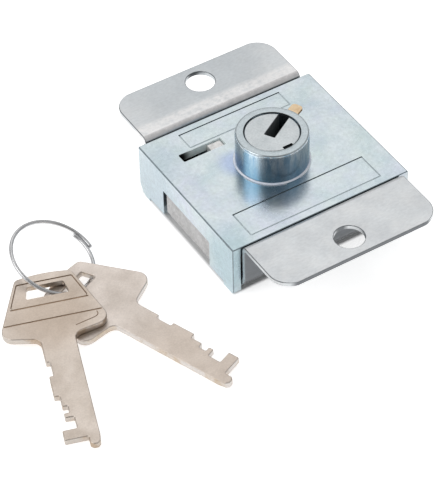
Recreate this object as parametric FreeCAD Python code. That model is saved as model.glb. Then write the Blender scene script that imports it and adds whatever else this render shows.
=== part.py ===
"""Boxed lever lock of an up-and-over garage door, with its two flat keys on a wire ring.

Frame: millimetres, +Z out of the lock's face towards the user. The origin is on the axis of the
keyed barrel, in the plane of the ears' front faces. The bolt leaves the case towards -X, and the
two ears lie at the +Y and -Y ends. Each piece is written to its own file in parts/.
"""
import FreeCAD
import Part

import math
import os

V = FreeCAD.Vector

# Case: a thick folded cover over a bent hat-section frame
cover_width = 54.1
cover_length = 46.6
cover_height = 16.0
cover_wall = 2.5
cover_edge_radius = 0.4
foot_height = 1.1
foot_length = 4.8
near_foot_radius = 0.9
far_foot_flat = 0.6
sheet = 1.3
ear_rise = 0.9
ear_reach = 17.1
ear_corner_radius = 6.0
ear_hole_diameter = 8.1
ear_hole_to_edge = 6.25
end_gap = 0.3
side_gap = 0.1
ear_bend_radius = 0.5
base_bend_radius = 3.7

# Stamped frames on the cover's face
stamp_width = 0.4
stamp_depth = 0.2
far_stamp_length = 31.8
far_stamp_height = 6.1
far_stamp_edge_gap = 2.0
near_stamp_length = 40.2
near_stamp_height = 9.1
near_stamp_edge_gap = 2.2

# Barrel: collar on the cover, and the plug that turns in it
boss_diameter = 19.5
boss_rise = 9.7
boss_bore = 14.8
boss_foot_width = 0.55
boss_foot_height = 0.15
boss_rim_bevel = 0.45
boss_mouth_bevel = 0.3
spigot_step = 0.9
plug_clearance = 0.08
plug_recess = 0.25
drum_diameter = 8.4
key_angle = 31.0
keyway_past_axis = 1.65
index_length = 2.9
index_width = 1.05
index_depth = 0.6
index_offset = 0.5

# Brass tab held in the boss wall
tab_width = 3.2
tab_thickness = 0.8
tab_reach = 4.1
tab_drop = 1.5
tab_angle = 27.0
tab_corner_radius = 1.0
tab_root_gap = 0.3

# Drive
turn = 60.0
pin_circle = 8.0
pin_diameter = 2.0
thrust_gap = 0.1
driver_thickness = 1.4
driver_hub_wall = 0.9
driver_rim = 1.3
bearing_clearance = 0.08
drum_flat = 0.6

# Bolt
bolt_width = 21.4
bolt_offset = -0.6
bolt_height = 6.5
bolt_head_length = 12.0
bolt_setback = 0.45
bolt_plate_thickness = 2.2
bolt_lift = 0.2
bolt_root = 1.0
window_near_gap = 0.4
window_far_gap = 1.1
window_top_gap = 0.5
slide_gap = 0.3
pin_play = 0.25
plate_rail = 2.3
plate_near_rail = 4.1
plate_far_rail = 1.95
drum_opening_gap = 1.9

# Inspection slot in the cover, and the stump that shows in it
slot_length = 12.9
slot_width = 2.9
slot_left_inset = 7.2
slot_far_inset = 10.25
stump_head_length = 4.0
stump_neck_length = 2.0
stump_width = 2.5
stump_slot_gap = 0.4
stump_top_gap = 0.5
stump_foot_gap = 0.2
stump_hold_x = 0.6
stump_hold_y = 0.3

# Lever pack
lever_count = 5
lever_gap = 0.3
lever_post_diameter = 4.0
lever_post_inset = 6.55
lever_post_drop = 0.55
lever_eye_wall = 1.55
lever_rest_radius = 5.65
lever_arm = 1.5
lever_bar = 1.6
lever_bar_gap = 2.3
lever_spare = 0.9
lever_tail_past_pillar = 1.75
lever_tail_drop = 1.45
lever_clearance = 0.3
lever_lift = 1.7
lever_lift_shares = [1.0, 0.93, 0.976, 0.882, 0.953]
belly_half_length = 3.0
ceiling_gap = 0.5
post_clearance = 0.05
washer_play = 0.02
collar_extra = 0.8

# Leaf springs over the levers
leaf = 0.35
leaf_eye_wall = 0.5
leaf_height_share = 0.8
spring_post_diameter = 1.4
spring_post_x = 9.5
leaf_reach = 14.5
leaf_rest_gap = 0.1
spring_post_edge_gap = 0.2

# Posts, pillars and screws
guide_diameter = 4.0
guide_positions = [-7.5, 12.5]
guide_clearance = 0.1
guide_collar_extra = 1.0
guide_washer_thickness = 0.6
spigot_diameter = 2.2
pillar_diameter = 4.4
pillar_inset_x = 3.4
pillar_inset_y = 6.1
screw_diameter = 3.0
screw_head_diameter = 5.4
screw_length = 7.0
screw_slot_width = 0.8
screw_clearance = 0.05

# Keys: lengths run back from the blade's shoulder over the head, or forward to the tip
key_thickness = 2.0
key_play = 1.0
blade_margin = 0.12
blade_length = 31.0
head_length = 26.4
head_top_half = 7.4
head_top_arch = 1.2
head_corner_radius = 1.6
lobe_half = 14.5
lobe_height = 6.6
lobe_radius = 3.0
shoulder_height = 4.4
shoulder_radius = 2.2
key_hole_top = 22.2
key_hole_bottom = 18.2
key_hole_top_half = 4.8
key_hole_bottom_half = 5.7
key_hole_corner = 0.6
recess_depth = 0.2
recess_top = 23.4
recess_bottom = 15.7
recess_top_half = 7.2
recess_bottom_half = 10.0
banner_height = 5.1
banner_groove = 0.35
banner_margin = 0.4
nub_start = 28.3
nub_low = 0.3
nub_width = 2.6
nub_bevel = 0.7

# Cuts as shares: start and end along the blade, and depth across it
blade_cuts = [
    (0.110, 0.252, 0.124),
    (0.468, 0.577, 0.158),
    (0.577, 0.645, 0.316),
    (0.645, 0.694, 0.158),
    (0.694, 0.810, 0.418),
]

# Ring
ring_radius = 11.1
ring_wire = 1.1
ring_overlap = 28.0
ring_strand_gap = 0.1

# Where the ring and the keys lie beside the lock
ring_x = -61.55
ring_y = 9.1
ring_height = 5.0
ring_tilt = 23.4
ring_tilt_heading = 137.0
ring_seam = 104.8

# Each key hangs by its hole on the ring: the hole's middle is at a share of the ring's radius
key_1_ring_share = 0.9647
key_1_ring_angle = 231.084
key_1_height = 2.954
key_1_heading = -108.91
key_1_pitch = 3.30
key_1_roll = 1.67
key_2_ring_share = 0.9035
key_2_ring_angle = 275.605
key_2_height = 0.972
key_2_heading = -68.31
key_2_pitch = 0.56
key_2_roll = 3.56

# Heights, measured from the ears' front faces
face_z = -ear_rise
ceiling_z = face_z - cover_wall
foot_z = face_z - cover_height
base_low_z = foot_z + foot_height
base_top_z = base_low_z + sheet
driver_low_z = base_top_z + thrust_gap
driver_top_z = driver_low_z + driver_thickness
plate_low_z = driver_top_z + slide_gap
plate_top_z = plate_low_z + bolt_plate_thickness
levers_low_z = plate_top_z + slide_gap + lever_gap / 3
levers_top_z = ceiling_z - ceiling_gap
lever_pitch = (levers_top_z - levers_low_z + lever_gap) / lever_count
lever_thickness = lever_pitch - lever_gap
boss_top_z = face_z + boss_rise
plug_top_z = boss_top_z - plug_recess

# Plan sizes
half_width = cover_width / 2
half_length = cover_length / 2
inner_half = half_width - cover_wall
frame_half = inner_half - side_gap
wall_inner_y = half_length + end_gap
wall_outer_y = wall_inner_y + sheet
ear_end_y = wall_outer_y + ear_reach
ear_hole_y = ear_end_y - ear_hole_to_edge
boss_radius = boss_diameter / 2
bore_radius = boss_bore / 2
plug_radius = bore_radius - plug_clearance
drum_radius = drum_diameter / 2
keyway_width = key_thickness + key_play
blade_width = keyway_past_axis + plug_radius - blade_margin
hub_radius = plug_radius + driver_hub_wall
driver_radius = max(hub_radius, pin_circle + pin_diameter / 2) + driver_rim

# The drive pin swings evenly to both sides of the Y axis, so the bolt's throw is its chord
throw = 2 * pin_circle * math.sin(math.radians(turn / 2))
pin_start = 90.0 - turn / 2
pin_x = pin_circle * math.cos(math.radians(pin_start))
pin_low_y = pin_circle * math.sin(math.radians(pin_start))

bolt_near_y = bolt_offset - bolt_width / 2
bolt_far_y = bolt_offset + bolt_width / 2
bolt_face_x = -half_width + bolt_setback
bolt_heel_x = bolt_face_x + bolt_head_length
bolt_low_z = base_top_z + bolt_lift
bolt_top_z = bolt_low_z + bolt_height

slot_left_x = -half_width + slot_left_inset
slot_y = half_length - slot_far_inset
slot_right_x = slot_left_x + slot_length
stump_x = slot_right_x - stump_slot_gap - stump_head_length / 2
neck_x = stump_x + (stump_head_length - stump_neck_length) / 2
stump_top_z = face_z - stump_top_gap

lever_post_x = inner_half - lever_post_inset
lever_post_y = slot_y - lever_post_drop
lever_post_radius = lever_post_diameter / 2
lever_hole_radius = lever_post_radius + post_clearance
lever_eye_radius = lever_hole_radius + lever_eye_wall

guide_radius = guide_diameter / 2
drum_opening = drum_radius + drum_opening_gap
plate_near_y = -(drum_opening + plate_near_rail)
guide_y = plate_near_y - guide_clearance - guide_radius
pillar_x = inner_half - pillar_inset_x
pillar_y = wall_inner_y - pillar_inset_y
pillar_radius = pillar_diameter / 2


# Shape helpers
def block(x0, x1, y0, y1, z0, z1):
    return Part.makeBox(x1 - x0, y1 - y0, z1 - z0, V(x0, y0, z0))


def rod(radius, z0, z1, x=0.0, y=0.0):
    return Part.makeCylinder(radius, z1 - z0, V(x, y, z0))


def tube(outer, inner, z0, z1, x=0.0, y=0.0):
    return rod(outer, z0, z1, x, y).cut(rod(inner, z0, z1, x, y))


def plate(points, z0, z1):
    outline = Part.makePolygon([V(x, y, z0) for x, y in points + points[:1]])
    return Part.Face(outline).extrude(V(0, 0, z1 - z0))


def arc(cx, cz, radius, start, end):
    """Arc in the Y-Z plane about (cx, cz), as three points from start to end degrees."""
    angles = [math.radians(a) for a in (start, (start + end) / 2, end)]
    points = [V(0, cx + radius * math.cos(a), cz + radius * math.sin(a)) for a in angles]
    return Part.Arc(*points).toShape()


def upright_edges(shape, points, reach=0.05):
    """Edges parallel to Z that pass through the given points."""
    found = []
    for edge in shape.Edges:
        a = edge.Vertexes[0].Point
        b = edge.Vertexes[-1].Point
        upright = abs(a.x - b.x) < 1e-6 and abs(a.y - b.y) < 1e-6
        if upright and any(math.hypot(a.x - x, a.y - y) < reach for x, y in points):
            found.append(edge)
    return found


def round_corners(shape, points, radius):
    return shape.makeFillet(radius, upright_edges(shape, points))


def turned(shape, degrees, x=0.0, y=0.0):
    copy = shape.copy()
    copy.rotate(V(x, y, 0), V(0, 0, 1), degrees)
    return copy


def group(shapes):
    return Part.makeCompound(shapes)


# Case
def rectangle_groove(half_x, y0, y1):
    outer = block(-half_x, half_x, y0, y1, face_z - stamp_depth, face_z + 1)
    inner = block(-half_x + stamp_width, half_x - stamp_width, y0 + stamp_width, y1 - stamp_width,
                  face_z - stamp_depth, face_z + 1)
    return outer.cut(inner)


def make_front_cover():
    shell = block(-half_width, half_width, -half_length, half_length, foot_z, face_z)
    long_edges = [edge for edge in shell.Edges
                  if abs(edge.Vertexes[0].Z - face_z) < 1e-6 and abs(edge.Vertexes[-1].Z - face_z) < 1e-6
                  and abs(edge.Vertexes[0].X - edge.Vertexes[-1].X) < 1e-6]
    shell = shell.makeFillet(cover_edge_radius, long_edges)
    shell = shell.cut(block(-inner_half, inner_half, -half_length, half_length, foot_z, ceiling_z))
    foot_start = half_length - foot_length
    shell = shell.cut(block(-half_width, half_width, -foot_start, foot_start, foot_z, base_low_z))
    far_foot_radius = foot_length - far_foot_flat
    for side, radius in ((-1, near_foot_radius), (1, far_foot_radius)):
        corner = block(-half_width, half_width, 0, radius, 0, radius)
        corner = corner.cut(Part.makeCylinder(radius, cover_width, V(-half_width, 0, radius), V(1, 0, 0)))
        corner.translate(V(0, half_length - radius, foot_z))
        if side < 0:
            corner = corner.mirror(V(0, 0, 0), V(0, 1, 0))
        shell = shell.cut(corner)
    window = block(-half_width - 1, -inner_half + 1, bolt_near_y - window_near_gap,
                   bolt_far_y + window_far_gap, foot_z - 1, bolt_top_z + window_top_gap)
    slot = block(slot_left_x, slot_right_x, slot_y - slot_width / 2, slot_y + slot_width / 2,
                 ceiling_z - 1, face_z + 1)
    shell = shell.cut(window).cut(slot)
    shell = shell.cut(rod(boss_radius - spigot_step, ceiling_z - 1, face_z + 1))
    far_y = half_length - far_stamp_edge_gap
    near_y = -half_length + near_stamp_edge_gap
    shell = shell.cut(rectangle_groove(far_stamp_length / 2, far_y - far_stamp_height, far_y))
    return shell.cut(rectangle_groove(near_stamp_length / 2, near_y, near_y + near_stamp_height))


def make_mounting_frame():
    ear_low_z = -sheet
    bend_y = wall_outer_y + ear_bend_radius
    bend_z = ear_low_z - ear_bend_radius
    base_bend_y = wall_inner_y - base_bend_radius
    base_bend_z = base_top_z + base_bend_radius
    outer_bend = base_bend_radius + sheet
    convex = ear_bend_radius + sheet

    def line(y0, z0, y1, z1):
        return Part.makeLine(V(0, y0, z0), V(0, y1, z1))

    edges = [
        line(0, base_low_z, base_bend_y, base_low_z),
        arc(base_bend_y, base_bend_z, outer_bend, -90, 0),
        line(wall_outer_y, base_bend_z, wall_outer_y, bend_z),
        arc(bend_y, bend_z, ear_bend_radius, 180, 90),
        line(bend_y, ear_low_z, ear_end_y, ear_low_z),
        line(ear_end_y, ear_low_z, ear_end_y, 0),
        line(ear_end_y, 0, bend_y, 0),
        arc(bend_y, bend_z, convex, 90, 180),
        line(wall_inner_y, bend_z, wall_inner_y, base_bend_z),
        arc(base_bend_y, base_bend_z, base_bend_radius, 0, -90),
        line(base_bend_y, base_top_z, 0, base_top_z),
        line(0, base_top_z, 0, base_low_z),
    ]
    half = Part.Face(Part.Wire(edges)).extrude(V(2 * frame_half, 0, 0))
    half.translate(V(-frame_half, 0, 0))
    frame = half.fuse(half.mirror(V(0, 0, 0), V(0, 1, 0))).removeSplitter()
    outline = block(-frame_half, frame_half, -ear_end_y, ear_end_y, foot_z, 1)
    corners = [(x, y) for x in (-frame_half, frame_half) for y in (-ear_end_y, ear_end_y)]
    frame = frame.common(round_corners(outline, corners, ear_corner_radius))
    for side in (-1, 1):
        frame = frame.cut(rod(ear_hole_diameter / 2, ear_low_z - 1, 1, 0, side * ear_hole_y))
    frame = frame.cut(rod(hub_radius + bearing_clearance, base_low_z - 1, base_top_z + 1))
    for x, y in pillar_places():
        frame = frame.cut(screw_shape(x, y, screw_clearance, False))
    for x, y, radius in riveted_places():
        frame = frame.cut(rod(radius, base_low_z - 1, base_top_z + 1, x, y))
    return frame


def pillar_places():
    return [(sx * pillar_x, sy * pillar_y) for sx in (-1, 1) for sy in (-1, 1)]


def riveted_places():
    """Post ends that are riveted in the base: x, y and radius."""
    places = [(x, guide_y, spigot_diameter / 2) for x in guide_positions]
    places.append((lever_post_x, lever_post_y, spigot_diameter / 2))
    places.append((spring_post_x, spring_post_y(), spring_post_diameter / 2))
    return places


def screw_shape(x, y, extra, with_slot):
    radius = screw_diameter / 2 + extra
    head_radius = screw_head_diameter / 2 + extra
    head = Part.makeCone(head_radius, radius, sheet, V(x, y, base_low_z))
    shank_end = base_low_z + screw_length + extra
    screw = head.fuse(rod(radius, base_low_z, shank_end, x, y))
    if with_slot:
        half = screw_slot_width / 2
        screw = screw.cut(block(x - head_radius, x + head_radius, y - half, y + half,
                                base_low_z - 1, base_low_z + sheet / 2))
    return screw


def make_cover_pillars():
    pillars = []
    for x, y in pillar_places():
        pillar = rod(pillar_radius, base_top_z, ceiling_z, x, y)
        pillars.append(pillar.cut(screw_shape(x, y, screw_clearance, False)))
    return group(pillars)


def make_back_screws():
    return group([screw_shape(x, y, 0.0, True) for x, y in pillar_places()])


# Barrel
def make_barrel_boss():
    spigot_radius = boss_radius - spigot_step
    foot_radius = boss_radius + boss_foot_width
    hollow_z = face_z + boss_foot_height + boss_foot_width
    profile = [
        (bore_radius, ceiling_z), (spigot_radius, ceiling_z), (spigot_radius, face_z),
        (foot_radius, face_z), (foot_radius, hollow_z), (boss_radius, hollow_z),
        (boss_radius, boss_top_z - boss_rim_bevel),
        (boss_radius - boss_rim_bevel, boss_top_z), (bore_radius + boss_mouth_bevel, boss_top_z),
        (bore_radius, boss_top_z - boss_mouth_bevel),
    ]
    outline = Part.makePolygon([V(r, 0, z) for r, z in profile + profile[:1]])
    boss = Part.Face(outline).revolve(V(0, 0, 0), V(0, 0, 1), 360)
    boss = boss.cut(Part.makeTorus(foot_radius, boss_foot_width, V(0, 0, hollow_z)))
    return boss.cut(make_locating_tab())


def make_locating_tab():
    top = boss_top_z - tab_drop
    inner = bore_radius + tab_root_gap
    outer = boss_radius + tab_reach
    half = tab_width / 2
    tab = block(inner, outer, -half, half, top - tab_thickness, top)
    tab = round_corners(tab, [(outer, -half), (outer, half)], tab_corner_radius)
    return turned(tab, tab_angle)


def keyway(reach):
    """Slot for the blade, from just past the axis out to the given radius."""
    half = keyway_width / 2
    return turned(block(-keyway_past_axis, reach, -half, half, foot_z, boss_top_z), key_angle)


def drum_section(z0, z1, radius):
    flat = radius - drum_flat
    return rod(radius, z0, z1).common(block(-radius, radius, -flat, flat, z0, z1))


def make_plug():
    head = rod(plug_radius, ceiling_z, plug_top_z)
    rim = [edge for edge in head.Edges if abs(edge.BoundBox.ZMin - plug_top_z) < 1e-6]
    head = head.makeChamfer(boss_mouth_bevel / 2, rim)
    drum = rod(drum_radius, driver_top_z, ceiling_z)
    plug = head.fuse(drum).fuse(drum_section(base_low_z, driver_top_z, drum_radius))
    notch_y = -plug_radius
    notch = block(index_offset - index_length / 2, index_offset + index_length / 2, notch_y - 1,
                  notch_y + index_width, plug_top_z - index_depth, plug_top_z + 1)
    return plug.cut(keyway(bore_radius)).cut(notch)


def make_driver():
    driver = rod(hub_radius, base_low_z, driver_low_z).fuse(rod(driver_radius, driver_low_z, driver_top_z))
    driver = driver.cut(drum_section(base_low_z, driver_top_z, drum_radius))
    driver = driver.cut(rod(pin_diameter / 2, base_low_z, driver_top_z, pin_x, pin_low_y))
    return driver.cut(keyway(bore_radius))


def make_drive_pin():
    return rod(pin_diameter / 2, driver_low_z, plate_top_z, pin_x, pin_low_y)


# Bolt
def make_bolt():
    head = block(bolt_face_x, bolt_heel_x, bolt_near_y, bolt_far_y, bolt_low_z, bolt_top_z)
    bolt_root_x = bolt_heel_x - bolt_root
    talon_top = pin_circle + pin_diameter / 2 + pin_play + lever_clearance / 2
    plate_far_y = talon_top + plate_far_rail
    tail_x = throw + drum_opening + plate_rail
    step_x = throw + pin_diameter / 2
    stump_ear = stump_head_length / 2 + stump_hold_x
    stump_ear_y = slot_y + stump_width / 2 + stump_hold_y
    tail = plate([
        (bolt_root_x, plate_near_y), (tail_x, plate_near_y), (tail_x, drum_opening + plate_rail),
        (step_x, drum_opening + plate_rail), (step_x, plate_far_y), (stump_x + stump_ear, plate_far_y),
        (stump_x + stump_ear, stump_ear_y), (stump_x - stump_ear, stump_ear_y),
        (stump_x - stump_ear, plate_far_y), (bolt_root_x, min(plate_far_y, bolt_far_y)),
    ], plate_low_z, plate_top_z)
    opening = block(0, throw, -drum_opening, drum_opening, plate_low_z, plate_top_z)
    opening = opening.fuse(rod(drum_opening, plate_low_z, plate_top_z))
    opening = opening.fuse(rod(drum_opening, plate_low_z, plate_top_z, throw))
    talon_half = pin_diameter / 2 + pin_play
    talon = block(pin_x - talon_half, pin_x + talon_half, 0, talon_top, plate_low_z, plate_top_z)
    bolt = head.fuse(tail.cut(opening).cut(talon)).removeSplitter()
    return bolt.cut(stump_neck(plate_low_z, plate_top_z))


def stump_neck(z0, z1):
    return block(neck_x - stump_neck_length / 2, neck_x + stump_neck_length / 2,
                 slot_y - stump_width / 2, slot_y + stump_width / 2, z0, z1)


def make_bolt_stump():
    head = block(stump_x - stump_head_length / 2, stump_x + stump_head_length / 2,
                 slot_y - stump_width / 2, slot_y + stump_width / 2, levers_top_z + stump_foot_gap,
                 stump_top_z)
    return head.fuse(stump_neck(plate_low_z, stump_top_z)).removeSplitter()


# Lever pack
def lever_swing(index):
    """Turn of a lever, in degrees, that lifts its belly over the key's widest cut."""
    arm = lever_post_x - belly_half_length
    return -math.degrees(lever_lift * lever_lift_shares[index] / arm)


def neck_in_lever(index, share):
    """Centre of the stump's neck as the lever sees it, when a share of the travel is done."""
    angle = -math.radians(lever_swing(index)) * share
    dx = neck_x - throw * share - lever_post_x
    dy = slot_y - lever_post_y
    return (lever_post_x + dx * math.cos(angle) - dy * math.sin(angle),
            lever_post_y + dx * math.sin(angle) + dy * math.cos(angle))


def make_lever(index):
    z0 = levers_low_z + index * lever_pitch
    z1 = z0 + lever_thickness
    half_x = stump_neck_length / 2
    half_y = stump_width / 2
    pocket_right = neck_x + half_x + lever_clearance
    bar_right = neck_x - half_x - lever_bar_gap
    bar_left = bar_right - lever_bar
    pocket_top = slot_y + half_y + lever_clearance
    enter = (neck_x - half_x - bar_right) / throw
    leave = (neck_x + half_x - bar_left) / throw
    gate_top = neck_in_lever(index, enter)[1] + half_y + lever_clearance
    gate_low = neck_in_lever(index, min(leave, 1.0))[1] - half_y - lever_clearance
    pocket_low = gate_low - lever_spare
    arm_low = pocket_low - lever_arm
    arm_top = pocket_top + lever_arm
    eye_x = lever_post_x
    eye_y = lever_post_y
    eye_r = lever_eye_radius
    body = plate([
        (bar_left, arm_low), (pocket_right, arm_low), (-belly_half_length, lever_rest_radius),
        (belly_half_length * 2, lever_rest_radius), (eye_x, eye_y - eye_r),
        (eye_x, eye_y + eye_r), (spring_post_x, arm_top), (bar_left, arm_top),
    ], z0, z1)
    tail = block(eye_x, pillar_x + lever_tail_past_pillar, eye_y - lever_tail_drop,
                 lever_stop_y(), z0, z1)
    lever = body.fuse(rod(eye_r, z0, z1, eye_x, eye_y)).fuse(tail)
    pocket = block(bar_right, pocket_right, pocket_low, pocket_top, z0, z1)
    gate = block(bar_left, bar_right, gate_low, gate_top, z0, z1)
    lever = lever.cut(pocket).cut(gate).cut(rod(lever_hole_radius, z0, z1, eye_x, eye_y))
    return lever.removeSplitter()


def lever_stop_y():
    """Edge of the levers' tails, which rests just under the far right pillar."""
    return pillar_y - pillar_radius - leaf_rest_gap


def lever_back_y():
    """Upper edge of the levers' arms at rest."""
    return slot_y + stump_width / 2 + lever_clearance + lever_arm


def make_lever_post():
    collar = rod(lever_post_radius + collar_extra, base_top_z, levers_low_z - washer_play,
                 lever_post_x, lever_post_y)
    shank = rod(lever_post_radius, base_top_z, ceiling_z, lever_post_x, lever_post_y)
    rivet = rod(spigot_diameter / 2, base_low_z, base_top_z, lever_post_x, lever_post_y)
    return collar.fuse(shank).fuse(rivet).removeSplitter()


def make_lever_washers():
    washers = []
    for index in range(lever_count - 1):
        z0 = levers_low_z + index * lever_pitch + lever_thickness + washer_play
        z1 = z0 + lever_gap - 2 * washer_play
        washers.append(tube(lever_post_radius + collar_extra, lever_hole_radius, z0, z1,
                            lever_post_x, lever_post_y))
    return group(washers)


# Leaf springs
def spring_post_y():
    return wall_inner_y - base_bend_radius - spring_post_diameter / 2 - spring_post_edge_gap


def make_lever_spring(index):
    z0 = levers_low_z + index * lever_pitch + lever_thickness * (1 - leaf_height_share) / 2
    z1 = z0 + lever_thickness * leaf_height_share
    hole = spring_post_diameter / 2 + post_clearance
    eye = hole + leaf_eye_wall
    x0 = spring_post_x
    y0 = spring_post_y()
    tip_x = x0 - leaf_reach
    tip_y = lever_back_y() + leaf_rest_gap
    strip = plate([
        (x0, y0 - eye), (tip_x, tip_y), (tip_x - leaf, tip_y + leaf), (tip_x, tip_y + leaf),
        (x0, y0 - eye + leaf),
    ], z0, z1)
    spring = strip.fuse(rod(eye, z0, z1, x0, y0)).cut(rod(hole, z0, z1, x0, y0))
    return spring.removeSplitter()


def leaf_swing(index):
    """Turn of a leaf, in degrees, that keeps its tip on its lever."""
    tip_x = spring_post_x - leaf_reach
    lift = -math.radians(lever_swing(index)) * (lever_post_x - tip_x)
    return -math.degrees(lift / leaf_reach)


def make_spring_post():
    return rod(spring_post_diameter / 2, base_low_z, ceiling_z, spring_post_x, spring_post_y())


# Guides beside the bolt plate
def make_guide_posts():
    posts = []
    washer_top = plate_top_z + slide_gap + guide_washer_thickness
    for x in guide_positions:
        collar = rod(guide_radius + guide_collar_extra, base_top_z, plate_low_z - guide_clearance, x, guide_y)
        shank = rod(guide_radius, base_top_z, plate_top_z + slide_gap, x, guide_y)
        spigot = rod(spigot_diameter / 2, base_low_z, washer_top, x, guide_y)
        posts.append(collar.fuse(shank).fuse(spigot).removeSplitter())
    return group(posts)


def make_guide_washers():
    z0 = plate_top_z + slide_gap
    z1 = z0 + guide_washer_thickness
    radius = guide_radius + guide_collar_extra
    return group([tube(radius, spigot_diameter / 2, z0, z1, x, guide_y) for x in guide_positions])


# Keys: +X of the drawing runs along the blade to its tip, +Y from the straight back to the cuts
def joined(points):
    """Straight edges from each point to the next."""
    return [Part.makeLine(V(*a, 0), V(*b, 0)) for a, b in zip(points, points[1:])]


def mirrored_about_blade(points):
    """The given half outline above the blade's centre line, and its mirror image below it."""
    centre = blade_width / 2
    upper = [(x, centre + y) for x, y in points]
    lower = [(x, centre - y) for x, y in reversed(points)]
    return upper, lower


def head_edges():
    """Edges of the head, from the blade's shoulder on one side over the top to the other side."""
    half = [
        (0.0, blade_width / 2), (-shoulder_height, blade_width / 2), (-lobe_height, lobe_half),
        (-head_length + head_top_arch, head_top_half),
    ]
    first, second = mirrored_about_blade(half)
    top = [V(*first[-1], 0), V(-head_length, blade_width / 2, 0), V(*second[0], 0)]
    return joined(first) + [Part.Arc(*top).toShape()] + joined(second)


def head_corners(index):
    """The two corners of the head's outline that have the given place in its half."""
    points = [(-shoulder_height, blade_width / 2), (-lobe_height, lobe_half),
              (-head_length + head_top_arch, head_top_half)]
    first, second = mirrored_about_blade([points[index]])
    return first + second


def trapezoid(top, top_half, bottom, bottom_half, z0, z1):
    upper, lower = mirrored_about_blade([(-top, top_half), (-bottom, bottom_half)])
    return plate(upper + lower, z0, z1)


def banner_line(x, z0, z1):
    """Groove across the head, clear of its sides."""
    side_top = head_length - head_top_arch
    share = (x + side_top) / (side_top - lobe_height)
    half = head_top_half + share * (lobe_half - head_top_half) - banner_margin
    centre = blade_width / 2
    return block(x, x + banner_groove, centre - half, centre + half, z0, z1)


def make_key_blank():
    """Key lying flat with its plain face up; the face with the sunk panel is below."""
    tip = blade_length
    nub_top = nub_low + nub_width
    blade = joined([
        (0.0, 0.0), (nub_start, 0.0), (tip - nub_bevel, nub_low), (tip, nub_low + nub_bevel),
        (tip, nub_top - nub_bevel), (tip - nub_bevel, nub_top), (nub_start, nub_top),
        (nub_start, blade_width), (0.0, blade_width),
    ])
    outline = Part.Face(Part.Wire(blade + head_edges()))
    key = outline.extrude(V(0, 0, key_thickness)).removeSplitter()
    for index, radius in enumerate((shoulder_radius, lobe_radius, head_corner_radius)):
        key = round_corners(key, head_corners(index), radius)
    hole = trapezoid(key_hole_top, key_hole_top_half, key_hole_bottom, key_hole_bottom_half,
                     -1, key_thickness + 1)
    uprights = [edge for edge in hole.Edges if edge.BoundBox.ZLength > key_thickness]
    recess = trapezoid(recess_top, recess_top_half, recess_bottom, recess_bottom_half, -1, recess_depth)
    key = key.cut(hole.makeFillet(key_hole_corner, uprights)).cut(recess)
    key = key.cut(banner_line(-recess_bottom + banner_height, -1, recess_depth))
    for start, end, depth in blade_cuts:
        key = key.cut(block(start * blade_length, end * blade_length, (1 - depth) * blade_width,
                            blade_width + 1, -1, key_thickness + 1))
    return key


def flipped(key):
    """The key turned over about its length."""
    copy = key.copy()
    copy.rotate(V(0, 0, key_thickness / 2), V(1, 0, 0), 180)
    return copy


def lay_key(key, side, share, angle, height, heading, pitch, roll):
    """Puts a key's hole on the ring and lays it on the table, blade_width / 2 to the given side."""
    placed = key.copy()
    placed.translate(V((key_hole_top + key_hole_bottom) / 2, -side * blade_width / 2, 0))
    placed.rotate(V(0, 0, 0), V(1, 0, 0), roll)
    placed.rotate(V(0, 0, 0), V(0, 1, 0), pitch)
    placed.rotate(V(0, 0, 0), V(0, 0, 1), heading)
    x = ring_x + share * ring_radius * math.cos(math.radians(angle))
    y = ring_y + share * ring_radius * math.sin(math.radians(angle))
    placed.translate(V(x, y, foot_z + height))
    return placed


def make_key_1():
    return lay_key(flipped(make_key_blank()), -1, key_1_ring_share, key_1_ring_angle, key_1_height,
                   key_1_heading, key_1_pitch, key_1_roll)


def make_key_2():
    return lay_key(make_key_blank(), 1, key_2_ring_share, key_2_ring_angle, key_2_height,
                   key_2_heading, key_2_pitch, key_2_roll)


def ring_arc(cx, radius, start, end):
    """Flat arc from start to end degrees, run clockwise as seen from above."""
    angles = [math.radians(-a) for a in (start, (start + end) / 2, end)]
    return Part.Arc(*[V(cx + radius * math.cos(a), radius * math.sin(a), 0) for a in angles]).toShape()


def make_key_ring():
    """One turn of wire whose second end runs outside its first one."""
    step = ring_wire + ring_strand_gap
    path = Part.Wire([
        ring_arc(0, ring_radius, 0, 180),
        ring_arc(step / 2, ring_radius + step / 2, 180, 360),
        ring_arc(0, ring_radius + step, 0, ring_overlap),
    ])
    section = Part.Wire([Part.makeCircle(ring_wire / 2, V(ring_radius, 0, 0), V(0, 1, 0))])
    ring = path.makePipeShell([section], True, False)
    ring.rotate(V(0, 0, 0), V(0, 0, 1), -ring_seam)
    ring.rotate(V(0, 0, 0), V(0, 1, 0), -ring_tilt)
    ring.rotate(V(0, 0, 0), V(0, 0, 1), ring_tilt_heading)
    ring.translate(V(ring_x, ring_y, foot_z + ring_height))
    return ring


def all_parts():
    parts = {
        "front_cover": make_front_cover(),
        "mounting_frame": make_mounting_frame(),
        "cover_pillars": make_cover_pillars(),
        "back_screws": make_back_screws(),
        "barrel_boss": make_barrel_boss(),
        "locating_tab": make_locating_tab(),
        "plug": make_plug(),
        "driver": make_driver(),
        "drive_pin": make_drive_pin(),
        "bolt": make_bolt(),
        "bolt_stump": make_bolt_stump(),
        "lever_post": make_lever_post(),
        "lever_washers": make_lever_washers(),
        "spring_post": make_spring_post(),
        "guide_posts": make_guide_posts(),
        "guide_washers": make_guide_washers(),
        "key_1": make_key_1(),
        "key_2": make_key_2(),
        "key_ring": make_key_ring(),
    }
    for index in range(lever_count):
        parts["lever_%d" % (index + 1)] = make_lever(index)
        parts["lever_spring_%d" % (index + 1)] = make_lever_spring(index)
    return parts


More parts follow.
